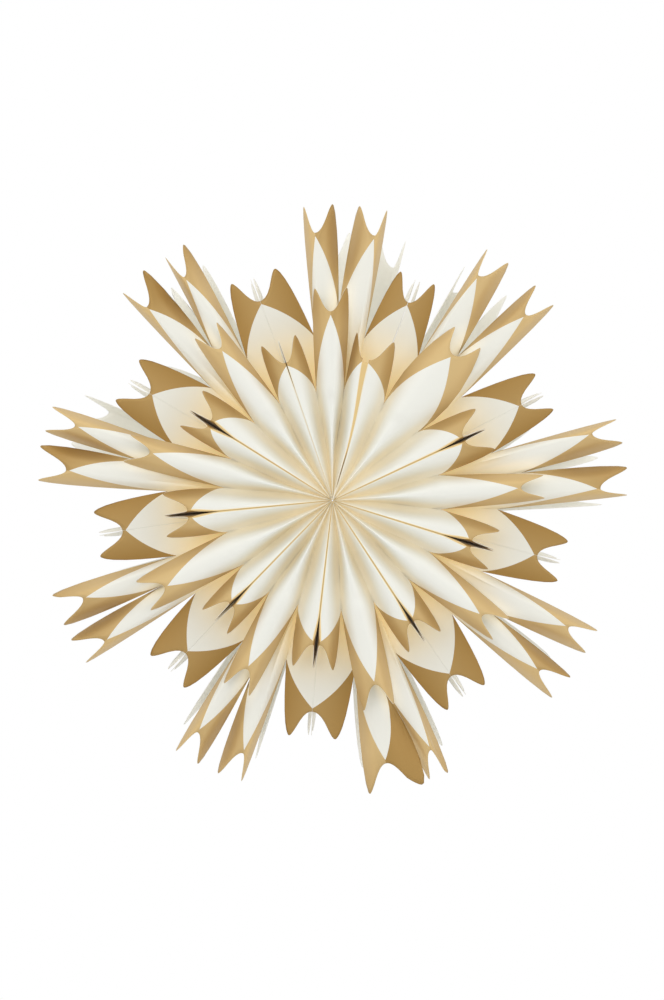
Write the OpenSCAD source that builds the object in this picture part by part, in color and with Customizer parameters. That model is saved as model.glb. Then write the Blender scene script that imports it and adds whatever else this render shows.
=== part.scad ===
// Fold-flat paper star. Nine creased paper petals stand round one centre line, and each is joined
// to the next by its side walls, so the ring closes like a fan into a flat pack.
// The star's centre is the origin, Y is its centre line, and the front faces -Y.

/* [Star] */
// Radius that the longest petal tips reach
tip_reach = 300; // [240:5:380]
// Number of petals in the ring
petals = 9; // [9:1:9]
// Width of every panel between two creases
panel_w = 36; // [30:0.5:42]
// Thickness of the paper
paper_t = 0.35; // [0.25:0.05:0.45]
// Radius at which the creased panels start
heart_r = 10; // [8:1:16]
// Angle of the closing walls, clockwise of the top, on an evenly spread star
seam_a = 23; // [20:1:40]
// How far the walls stand from even spacing where the petals lie slack to one side
slack_a = 3; // [0:0.5:4]
// Direction, clockwise of the top, in which the walls stay farthest behind
slack_dir = 150; // [120:5:180]
// How far the twin tips lean towards the closure, in the petals beside it
twin_lean = 2.2; // [0:0.2:3]
// How far the rear twin tips stand clockwise of the front ones
rear_turn = 1.6; // [0:0.2:3]

/* [Creases] */
// Place of the outer valley, as a share of the angle from the side wall to the petal's middle
outer_valley_at = 0.57; // [0.5:0.005:0.6]
// Place of each of the twin ridges, as a share of that angle
twin_ridge_at = 0.71; // [0.65:0.005:0.75]
// Place of a rosette valley, as a share of that angle
rosette_valley_at = 0.56; // [0.5:0.005:0.6]
// How far the twin ridges swell forward of the side ridges
twin_swell = 18; // [8:1:22]
// How far the middle ridge of the rosette swells forward
rosette_swell = 3; // [0:0.5:6]
// Gap between the rosette's foot and the ridge under it
rosette_lift = 0.8; // [0.5:0.1:2]

/* [Cut edge] */
// Distance from a ridge to the tip beside it, along the paper
tip_inset = 22; // [18:0.1:24]
// Height of the tips over the notch between them
tip_rise = 29.5; // [24:0.5:34]
// Height of the rosette's tips over the notch between them
rosette_rise = 24; // [20:0.5:30]
// Notch in the side ridges, as a share of the reach
side_notch = 0.72; // [0.68:0.005:0.76]
// Notch in the twin ridges, as a share of the reach
twin_notch = 0.9; // [0.88:0.005:0.92]
// Foot of the outer valley, as a share of the reach
outer_valley = 0.56; // [0.54:0.005:0.62]
// Foot of the middle valley, as a share of the reach
middle_valley = 0.638; // [0.62:0.002:0.7]
// Notch in the rosette's edge ridges, as a share of the reach
rosette_edge_notch = 0.482; // [0.45:0.002:0.5]
// Notch in the rosette's middle ridge, as a share of the reach
rosette_middle_notch = 0.626; // [0.6:0.002:0.66]
// Foot of the rosette's valleys, as a share of the reach
rosette_valley = 0.364; // [0.36:0.002:0.41]

/* [Closure] */
// Gap between the two end walls where the ring closes
seam_gap = 2.4; // [2:0.1:3.2]
// Diameter of the hook-and-loop dots
dot_d = 16; // [12:1:20]
// Diameter of the hanging hole
hang_d = 5; // [4:0.5:6]
// Distance of the hanging hole from the centre line
hang_r = 196; // [180:1:200]

/* [Hidden] */
wall_half_w = 2 * panel_w;
rosette_d = 3 * panel_w + rosette_lift;
// A closed pack holds eight layers of paper a petal: half of them set how far a petal's inner crease
// stands from both of its walls.
spine_side = 4 * paper_t;
crease_bead_r = paper_t / 2;
crease_clear = 0.05;
// Clearance from the glued walls to the first crease, and from one rosette foot to the next.
wall_clear = 0.25;
foot_clear = 0.12;
dot_t = seam_gap / 2 - 0.02;
dot_places = [[64, 0], [150, 46], [150, -46]];
miter_most = 1.1;
// The ridges stand level under the rosette and swell forward from this radius on.
swell_from = tip_reach / 3;
// Share of a half petal over which its lean grows from nothing at the side wall.
lean_share = 0.6;
// Columns across one panel, from its ridge to its valley, and rows from the centre to the cut edge.
panel_steps = [0, 0.33, tip_inset / panel_w, 0.8, 1];
rows = [0, 0.4, 0.76, 1];
step = 0.01;
$fn = 48;

// A panel runs from a ridge down to a valley, each at a share of the angle from the side wall to the
// petal's middle. The part of its width that shows from the front grows with the radius as the fold
// opens, until the valley's foot, and then on to the tip.
function panel(ridge_at, valley_at, notch, valley, rise, depth, swell, tip_share) =
    [ridge_at, valley_at, notch * tip_reach, valley * tip_reach, depth, swell, tip_share,
     notch * tip_reach + rise];
side_panel = panel(0, outer_valley_at, side_notch, outer_valley, tip_rise, wall_half_w, 0, 0.995);
twin_outer = panel(twin_ridge_at, outer_valley_at, twin_notch, outer_valley, tip_rise,
                   wall_half_w, twin_swell, 0.48);
twin_inner = panel(twin_ridge_at, 1, twin_notch, middle_valley, tip_rise, wall_half_w, twin_swell, 0.8);
foot_panel = panel(0, 0, rosette_edge_notch, rosette_valley, rosette_rise, rosette_d, 0, 0);
rosette_outer = panel(0, rosette_valley_at, rosette_edge_notch, rosette_valley, rosette_rise,
                      rosette_d, 0, 0.76);
rosette_inner = panel(1, rosette_valley_at, rosette_middle_notch, rosette_valley, rosette_rise,
                      rosette_d, rosette_swell, 0.63);

// Half a strip of paper, from a side wall to the petal's middle: each panel with the panel that
// sets its valley's depth, and whether it is crossed from ridge to valley.
petal_half = [[side_panel, twin_outer, true], [twin_outer, twin_outer, false],
              [twin_inner, twin_inner, true]];
rosette_half = [[foot_panel, foot_panel, false], [rosette_outer, rosette_outer, true],
                [rosette_inner, rosette_outer, false]];

function smooth(x) = let (t = min(1, max(0, x))) t * t * (3 - 2 * t);
function mix(a, b, t) = a + (b - a) * t;
// Height of the cut edge at a share u of the panel's width from its ridge.
function edge(p, u) =
    let (tip_u = tip_inset / panel_w)
    u <= tip_u ? mix(p[2], p[7], pow(u / tip_u, 2.1))
               : mix(p[7], p[3], pow((u - tip_u) / (1 - tip_u), 2.2));
// Share of a panel's width seen from the front, at radius r, in a petal of half angle $half.
function spread(p, r) =
    let (open = abs(p[1] - p[0]) * $half * PI / 180 * min(r, p[3]) / panel_w)
    mix(open, p[6], r <= p[3] ? 0 : (r - p[3]) / (p[7] - p[3]));
function ridge_depth(p, r) = p[4] + p[5] * smooth((r - swell_from) / (p[3] - swell_from));
function fall(share) = sqrt(max(0, 1 - share * share));
// How far a panel drops from its ridge for each unit of width. Its valley is set by panel v.
function drop(p, v, r) =
    let (foot = min(r, p[3]),
         shared = (ridge_depth(p, foot) - ridge_depth(v, foot)) / panel_w + fall(spread(v, foot)))
    r <= p[3] ? shared : mix(shared, fall(p[6]), (r - p[3]) / (p[7] - p[3]));
// A point of the paper, in the frame of its petal: x across, y along the centre line, z outward. Away
// from the side wall the paper leans by $lean towards its petal's middle.
function on_panel(h, u, r, clear) =
    let (p = h[0], side = sign(p[1] - p[0]),
         even_a = (p[0] - 1) * $half + side * u * panel_w * spread(p, r) / r * 180 / PI,
         a = even_a + $lean * smooth((1 + even_a / $half) / lean_share) * smooth(r / p[3]),
         aside = p[0] > 0 ? 0 : (p[1] == 0 ? 1 : 1 - u) * clear)
    [r * sin(a) + aside * cos($half), -ridge_depth(p, r) + u * panel_w * drop(p, h[1], r),
     r * cos(a) + aside * sin($half)];
// Half the paper's thickness, square to the panel, or along the centre line at a crease.
function half_thick(h, u, r, clear) =
    let (in_u = min(1 - step, max(step, u)), at_crease = (u == 0 || u == 1) && h[0][1] != 0,
         across = (on_panel(h, in_u + step, r, clear) - on_panel(h, in_u - step, r, clear))
                  * (h[2] ? 1 : -1),
         along = on_panel(h, in_u, r + step, clear) - on_panel(h, in_u, r - step, clear),
         square = cross(across, along))
    at_crease ? [0, -min(miter_most, paper_t / 2 / max(0.02, spread(h[0], r))), 0]
              : square / norm(square) * paper_t / 2;
function flip_x(v) = [-v[0], v[1], v[2]];
function columns(half) =
    [for (h = half) for (i = [0 : len(panel_steps) - 1])
        if (h[0] == half[0][0] || i > 0)
            [h, h[2] ? panel_steps[i] : panel_steps[len(panel_steps) - 1 - i]]];
function grid_faces(n, m) =
    let (all = n * m)
    concat(
        [for (i = [0 : n - 2]) for (j = [0 : m - 2]) let (a = i * m + j) each
            [[a, a + m, a + m + 1], [a, a + m + 1, a + 1],
             [all + a, all + a + m + 1, all + a + m], [all + a, all + a + 1, all + a + m + 1]]],
        [for (i = [0 : n - 2]) for (j = [0, m - 1]) let (a = i * m + j, out = j > 0) each
            [out ? [a, a + m, all + a] : [a + m, a, all + a + m],
             out ? [a + m, all + a + m, all + a] : [a, all + a, all + a + m]]],
        [for (i = [0, n - 1]) for (j = [0 : m - 2]) let (a = i * m + j, right = i > 0) each
            [right ? [a + 1, a, all + a + 1] : [a, a + 1, all + a],
             right ? [a, all + a, all + a + 1] : [a + 1, all + a + 1, all + a]]]);

// One strip of creased paper across a petal, between its two side walls, leaning clockwise.
module strip(half, left_clear, right_clear, lean = 0) {
    list = columns(half);
    count = len(list);
    height = [for (c = list) [for (t = rows) mix(heart_r, edge(c[0][0], c[1]), t)]];
    left = let ($lean = lean) [for (i = [0 : count - 1]) for (r = height[i])
        [on_panel(list[i][0], list[i][1], r, left_clear),
         half_thick(list[i][0], list[i][1], r, left_clear)]];
    right = let ($lean = -lean) [for (i = [count - 2 : -1 : 0]) for (r = height[i])
        [flip_x(on_panel(list[i][0], list[i][1], r, right_clear)),
         flip_x(half_thick(list[i][0], list[i][1], r, right_clear))]];
    sheet = concat(left, right);
    polyhedron(concat([for (s = sheet) s[0] + s[1]], [for (s = sheet) s[0] - s[1]]),
               grid_faces(2 * count - 1, len(rows)));
}

// Angle of side wall k, clockwise of the top, and half the angle between the walls of petal k.
function wall_a(k) = let (a = seam_a + 360 / petals * k) a + slack_a * cos(a - slack_dir);
function half_of(k) = (wall_a(k) - wall_a(k - 1)) / 2;
// How far the middle of petal k leans clockwise.
function lean_of(k) = -twin_lean * cos(180 * (k - 1) / (petals - 1));
function is_end(k) = k == 0 || k == petals;
function clear_of(k, base) = is_end(k) ? base + seam_gap / 2 : base;

// Puts a petal's own frame at petal k, turned clockwise from the top as seen from the front.
module at_petal(k) rotate([0, wall_a(k) - half_of(k), 0]) let ($half = half_of(k)) children();
// Puts x outward along side wall k, y to the front and z clockwise.
module on_wall(k) rotate([0, wall_a(k), 0]) rotate(180, [1, 0, 1]) children();

module gusset(k, lean)
    strip(petal_half, clear_of(k - 1, paper_t + wall_clear), clear_of(k, paper_t + wall_clear), lean);
module rosette(k)
    strip(rosette_half, clear_of(k - 1, paper_t / 2 + foot_clear), clear_of(k, paper_t / 2 + foot_clear));
module front_gusset(k) color("white") at_petal(k) gusset(k, lean_of(k));
module rear_gusset(k) color("whitesmoke") at_petal(k) mirror([0, 1, 0]) gusset(k, lean_of(k) + rear_turn);
module front_rosette(k) color("ivory") at_petal(k) rosette(k);
module rear_rosette(k) color("linen") at_petal(k) mirror([0, 1, 0]) rosette(k);

// The cut outline of a side wall, over its four panel widths.
wall_steps = [0, 0.12, 0.24, 0.36, 0.48, tip_inset / panel_w, 0.7, 0.8, 0.9, 1];
wall_edge = [for (half = [0, 1]) for (i = [0 : len(wall_steps) - 1])
    let (u = half == 0 ? wall_steps[i] : wall_steps[len(wall_steps) - 1 - i])
    if (half == 0 || i > 0) [edge(side_panel, u), half == 0 ? u * panel_w : wall_half_w - u * panel_w]];
function wall_outline(foot_r) = concat(
    [[foot_r, -wall_half_w], [foot_r, wall_half_w]],
    [for (i = [len(wall_edge) - 1 : -1 : 0]) wall_edge[i]],
    [for (i = [1 : len(wall_edge) - 1]) [wall_edge[i][0], -wall_edge[i][1]]]);

// A side wall of a petal, clockwise of its leaf (side 1) or the other way (side -1). A narrow back
// fold reaches from it to the crease that the petal turns on, where the end walls already lie.
module side_wall(k, side) {
    lift = is_end(k) ? seam_gap / 2 : 0;
    bead_space = crease_bead_r + crease_clear;
    spine_reach = spine_side / tan(half_of(side > 0 ? k + 1 : k));
    foot_r = side < 0 && is_end(k) ? spine_reach + bead_space : spine_reach - paper_t / 2;
    fold_w = side < 0 ? spine_side - bead_space : spine_side;
    on_wall(k) difference() {
        union() {
            translate([0, 0, side > 0 ? lift : -lift - paper_t])
                linear_extrude(paper_t) polygon(wall_outline(foot_r));
            if (!is_end(k)) translate([foot_r, -wall_half_w, side > 0 ? 0 : -fold_w])
                cube([paper_t, 2 * wall_half_w, fold_w]);
            if (side > 0) translate([spine_reach, wall_half_w, spine_side])
                rotate([90, 0, 0]) cylinder(h = 2 * wall_half_w, r = crease_bead_r);
        }
        if (is_end(k)) translate([hang_r, 0, -lift - 2 * paper_t])
            cylinder(h = 2 * lift + 4 * paper_t, d = hang_d);
    }
}
module left_wall(k) color("ghostwhite") side_wall(k - 1, 1);
module right_wall(k) color("snow") side_wall(k, -1);

// Round hook-and-loop dots hold the two end walls together while the star is open.
module dots(from) for (place = dot_places)
    translate([place[0], place[1], from]) cylinder(h = dot_t, d = dot_d);
module hook_dots() color("gainsboro") on_wall(0) dots(seam_gap / 2 - dot_t);
module loop_dots() color("lightgray") on_wall(petals) dots(-seam_gap / 2);

function name_of(k, piece) = str("petal_", k, "_", piece);
for (k = [1 : petals]) {
    left_wall(k);
    right_wall(k);
    front_gusset(k);
    rear_gusset(k);
    front_rosette(k);
    rear_rosette(k);
}
hook_dots();
loop_dots();
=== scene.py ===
"""Dresses a fold-flat paper star: creased petals, rosettes, side walls, their print, light and camera.

Lengths are in millimetres and angles in degrees clockwise of the top, seen from the front, unless a comment
says otherwise. The star's centre is the origin, Y is its centre line, and the front faces -Y.
"""

import logging
import math
from dataclasses import dataclass
from enum import Enum

import bmesh
import bpy
import numpy as np
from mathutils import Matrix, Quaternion, Vector


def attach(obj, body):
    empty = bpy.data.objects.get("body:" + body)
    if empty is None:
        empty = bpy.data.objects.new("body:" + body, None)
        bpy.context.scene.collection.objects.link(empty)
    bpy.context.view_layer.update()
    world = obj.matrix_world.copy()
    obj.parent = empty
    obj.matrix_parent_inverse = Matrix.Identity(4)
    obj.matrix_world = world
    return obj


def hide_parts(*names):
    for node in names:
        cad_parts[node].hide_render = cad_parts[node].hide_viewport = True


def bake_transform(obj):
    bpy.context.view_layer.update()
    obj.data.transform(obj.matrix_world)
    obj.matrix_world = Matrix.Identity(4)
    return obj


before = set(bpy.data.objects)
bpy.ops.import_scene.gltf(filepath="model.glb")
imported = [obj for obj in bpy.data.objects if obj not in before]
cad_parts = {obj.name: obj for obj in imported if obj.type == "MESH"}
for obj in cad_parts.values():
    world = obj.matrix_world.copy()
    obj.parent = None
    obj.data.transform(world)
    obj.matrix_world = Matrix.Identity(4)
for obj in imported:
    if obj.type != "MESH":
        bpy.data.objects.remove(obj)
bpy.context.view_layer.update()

LOG = logging.getLogger("paper_star")
Array = np.ndarray
Colour = tuple[float, float, float, float]

MM = 0.001
# The paper's thickness, and the width of every panel between two creases.
PAPER = 0.35
PANEL_W = 36.0
# Radius of the longest tips, and the radius at which the paper starts.
REACH = 300.0
HEART_R = 0.9
# How far a tip stands from its ridge, across the panel.
TIP_INSET = 22.0
# How far the tips of the twin lobes, the half lobes beside the walls and the rosette reach past the notch.
TIP_RISE = 31.8
SIDE_RISE = 28.5
ROSETTE_RISE = 26.8
# A panel that rises less than this has no tip and no unprinted arch.
LEAST_RISE = 5.0
# Width of the gold strap between the arch's point and the notch.
STRAP = 3.4
# Radius from which the twin ridges swell forward.
SWELL_FROM = REACH / 3
# Half the depth of a side wall, how far the rosette stands off the petals, and how far its ridges stand in
# front of the star's middle.
WALL_HALF_W = 2 * PANEL_W
ROSETTE_LIFT = 0.8
ROSETTE_D = 3 * PANEL_W + ROSETTE_LIFT
# Gap between the two closing walls, and half the width of the narrow fold at the back of each wall.
SEAM_GAP = 2.4
SPINE_SIDE = 4 * PAPER
# Radius of the hanging hole in the closing walls, and its distance from the centre.
HOLE_R = 2.5
HOLE_AT = 196.0


class Face(Enum):
    """Which face of the star a strip belongs to: the sign that turns the front into the rear."""

    FRONT = 1.0
    REAR = -1.0


def smooth(x: Array | float) -> Array:
    """Return a soft step from 0 to 1 as x goes from 0 to 1."""
    t = np.clip(x, 0.0, 1.0)
    return t * t * (3.0 - 2.0 * t)


def mix(a: Array | float, b: Array | float, t: Array | float) -> Array:
    """Return the value a share t of the way from a to b."""
    return a + (b - a) * t


def soft_min(a: Array, b: Array, radius: float) -> Array:
    """Return the lower of a and b, with the corner where they cross rounded over about radius."""
    gap = np.clip(0.5 + 0.5 * (b - a) / radius, 0.0, 1.0)
    return mix(b, a, gap) - radius * gap * (1.0 - gap)


def hump(x: Array | float) -> Array:
    """Return a hump that is 0 where x is 0 or 1 and 1 halfway."""
    return 4.0 * x * (1.0 - x)


def short_way(angle: Array) -> Array:
    """Return angles in degrees as the like ones from -180 to 180."""
    return (angle + 180.0) % 360.0 - 180.0


def fall(share: Array | float) -> Array:
    """Return how far a panel falls for each unit of its width, where a share of the width shows."""
    return np.sqrt(np.maximum(0.0, 1.0 - np.square(share)))


@dataclass(frozen=True)
class Ramp:
    """A soft step that begins at one value and takes a length to finish."""

    start: float
    length: float

    def up(self, x: Array | float) -> Array:
        """Return the step's height at x, from 0 to 1."""
        return smooth((x - self.start) / self.length)

    def down(self, x: Array | float) -> Array:
        """Return what the step lacks at x, from 1 to 0."""
        return 1.0 - self.up(x)


@dataclass(frozen=True)
class Ring:
    """Where the side walls stand round the centre line."""

    petals: int = 9
    seam: float = 23.0
    slack: float = 3.0
    slack_toward: float = 150.0

    def wall(self, k: int) -> float:
        """Return the angle of side wall k."""
        a = self.seam + 360.0 / self.petals * k
        return a + self.slack * math.cos(math.radians(a - self.slack_toward))

    def half(self, petal: int) -> float:
        """Return half the angle between the walls of a petal."""
        return (self.wall(petal) - self.wall(petal - 1)) / 2

    def middle(self, petal: int) -> float:
        """Return the angle of a petal's middle."""
        return (self.wall(petal) + self.wall(petal - 1)) / 2

    def closes(self, k: int) -> bool:
        """Return whether wall k is one of the two where the ring closes."""
        return k in (0, self.petals)

    def clear(self, k: int, base: float) -> float:
        """Return how far paper keeps from the plane of wall k; the closing walls stand half a gap apart."""
        return base + SEAM_GAP / 2 if self.closes(k) else base


@dataclass(frozen=True)
class Panel:
    """One panel of a creased strip, from a ridge down to a valley.

    ridge_at and valley_at are shares of the angle from the side wall to the petal's middle. notch and foot
    are the radii where the cut edge meets the ridge and the valley, and rise is how far the tip reaches
    past the notch. depth is how far the ridge stands in front of the star's middle, and swell is how much
    that grows outwards. tip_share is the share of the width that shows at the tip, and arch is how full
    the unprinted arch is. lift is how much shallower the valley lies than its even depth: it grows from
    lift_from to lift_to and ends over the length fade beyond the foot. tip_in is how far the tip stands
    from the ridge, across the panel. at_heart is the share of the even depth at the centre line.
    """

    ridge_at: float
    valley_at: float
    notch: float
    foot: float
    rise: float
    depth: float
    swell: float = 0.0
    tip_share: float = 0.0
    arch: float = 0.45
    lift: float = 0.0
    lift_from: float = 78.0
    lift_to: float = 110.0
    fade: float = 160.0
    tip_in: float = TIP_INSET
    at_heart: float = 1.0
    # How the depth grows from the centre: a first part at once, the rest on the way to the foot.
    heart: Ramp = Ramp(0.0, 20.0)
    heart_share: float = 0.125
    grown_from: float = 10.0
    # How the cut edge climbs to the tip and drops behind it, and how blunt the tip is.
    climb: float = 2.1
    descent: float = 2.5
    blunt: float = 15.0
    # How many times sooner a panel with a belly opens.
    sooner: float = 3.0

    @property
    def side(self) -> float:
        """Return 1 where the valley lies towards the middle, -1 towards the wall and 0 on a foot."""
        return float(np.sign(self.valley_at - self.ridge_at))

    @property
    def tip(self) -> float:
        """Return the radius that the tip reaches."""
        return self.notch + self.rise

    @property
    def has_tip(self) -> bool:
        """Return whether the panel has a tip and an unprinted arch below it."""
        return self.rise > LEAST_RISE

    def edge(self, u: Array) -> Array:
        """Find the cut edge.

        Args:
            u: shares of the panel's width, from the ridge.

        Returns:
            The radius of the edge at each of them.
        """
        tip_u = self.tip_in / PANEL_W
        up = self.notch + self.rise * np.power(u / tip_u, self.climb)
        over = np.clip((u - tip_u) / (1.0 - tip_u), 0.0, 1.0)
        down = mix(self.tip, self.foot, np.power(over, self.descent))
        return np.where(u >= 1.0, self.foot, soft_min(up, down, self.blunt))

    def settle(self, r: Array) -> Array:
        """Find how deep the valley is, as it is even near the centre and lifted further out.

        Args:
            r: radii.

        Returns:
            The share of the valley's even depth at each of them.
        """
        if self.side == 0:
            return np.ones_like(r)
        later = Ramp(self.grown_from, self.foot - self.grown_from).up(r)
        grown = self.heart_share * self.heart.up(r) + (1.0 - self.heart_share) * later
        lifted = self.lift * Ramp(self.lift_from, self.lift_to - self.lift_from).up(r)
        return mix(self.at_heart, 1.0, grown) * (1.0 - lifted * Ramp(self.foot, self.fade).down(r))

    def out(self, r: Array) -> Array:
        """Return how far r lies from the valley's foot to the tip, from 0 to 1."""
        return np.clip((r - self.foot) / (self.tip - self.foot), 0.0, 1.0)

    def spread(self, r: Array, half: float, lobe: float = 1.0, belly: float = 0.0) -> Array:
        """Find how widely the panel stands open.

        Args:
            r: radii.
            half: half the angle between the petal's walls.
            lobe: how far the panel opens at its tip, against its even share.
            belly: how much wider it stands halfway from its foot to its tip.

        Returns:
            The share of the panel's width that shows from the front at each radius.
        """
        out = self.out(r)
        shown = abs(self.valley_at - self.ridge_at) * math.radians(half) * np.minimum(r, self.foot) / PANEL_W
        return mix(shown, self.tip_share * lobe, out) + belly * hump(out)

    def ridge_depth(self, r: Array) -> Array:
        """Return how far the ridge stands in front of the star's middle at radius r."""
        return self.depth + self.swell * smooth((r - SWELL_FROM) / (self.foot - SWELL_FROM))

    def drop(self, valley_by: "Panel", r: Array, half: float, lobe: float, belly: float) -> Array:
        """Find how far the panel falls from its ridge to its valley.

        Args:
            valley_by: the panel that sets the depth of the valley they share.
            r: radii.
            half: half the angle between the petal's walls.
            lobe: how far the panel opens at its tip, against its even share.
            belly: how much wider it stands halfway.

        Returns:
            The fall at each radius.
        """
        foot = np.minimum(r, self.foot)
        further = self.ridge_depth(foot) - valley_by.ridge_depth(foot)
        shared = further + PANEL_W * fall(valley_by.spread(foot, half))
        opened = np.minimum(1.0, self.spread(r, half, lobe, belly))
        out = self.out(r)
        return mix(shared, PANEL_W * fall(opened), smooth(self.sooner * out) if belly else out)


@dataclass(frozen=True)
class Crease:
    """How soft a fold is. The paper is creased sharply near the centre and springs open further out."""

    ridge_near: float = 0.07
    ridge_far: float = 0.75
    valley_near: float = 0.55
    valley_far: float = 0.12
    valley_level: float = 0.85
    opening: Ramp = Ramp(35.0, 115.0)
    parts: int = 160

    def profile(self, u: float, r: Array) -> Array:
        """Find the curve of the paper from ridge to valley.

        Args:
            u: share of the panel's width.
            r: radii.

        Returns:
            The share of the panel's drop that is reached at u, for each radius.
        """
        fine = np.linspace(0.0, 1.0, self.parts + 1)
        opened = self.opening.up(r)
        ridge = mix(self.ridge_near, self.ridge_far, opened)[:, None]
        valley = mix(self.valley_near, self.valley_far, opened)[:, None]
        leaving = 1.0 - np.exp(-np.square(fine / ridge))
        slope = leaving * (1.0 - self.valley_level * np.exp(-np.square((1.0 - fine) / valley)))
        fallen = np.cumsum((slope[:, 1:] + slope[:, :-1]) / 2, axis=-1)
        total = np.concatenate([np.zeros((len(r), 1)), fallen], axis=-1) / fallen[:, -1:]
        low = min(int(u * self.parts), self.parts - 1)
        return mix(total[:, low], total[:, low + 1], u * self.parts - low)


@dataclass(frozen=True)
class Habit:
    """How half a strip of a real, handled star stands off its even place.

    turns are degrees clockwise, one for each crease from the side wall to the petal's middle. The wall's
    own turn keeps only the share inner of itself near the centre, and all turns grow until the radius
    settled. tuck is how many degrees the first valley slips under the middle ridge near the centre.
    splay is how far the paper opens off the wall at its notch. shelf is how many degrees a foot runs
    sideways before it drops, besides the closure's own gap. lobes are how far each panel opens at its
    tip, against its even share, from the side wall to the petal's middle, and belly is how much wider
    the last of them stands between its foot and its tip.
    """

    turns: tuple[float, ...]
    inner: float = 1.0
    settled: float = 1.0
    tuck: float = 0.0
    splay: float = 0.0
    shelf: float = 0.0
    lobes: tuple[float, ...] = (1.0, 1.0, 1.0)
    belly: float = 0.0

    @property
    def lean(self) -> float:
        """Return how far the strip's end leans past its side wall."""
        return max(0.0, self.turns[0])

    def opening(self, number: int) -> tuple[float, float]:
        """Return how far a panel opens at its tip and how much wider it stands halfway."""
        return self.lobes[number], self.belly if number == len(self.lobes) - 1 else 0.0


@dataclass(frozen=True)
class Fold:
    """A panel in its place in a strip.

    valley_by is the panel that sets the depth of its valley. outward is True where the way from the side
    wall to the petal's middle crosses it from ridge to valley.
    """

    panel: Panel
    valley_by: Panel
    outward: bool


@dataclass(frozen=True)
class Line:
    """A line of the paper from the centre to the cut edge.

    It lies on one panel, counted from the side wall, at the share u of its width. height holds its
    radii, and mirrored is True on the clockwise half of the petal.
    """

    panel: int
    u: float
    height: Array
    mirrored: bool


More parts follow.
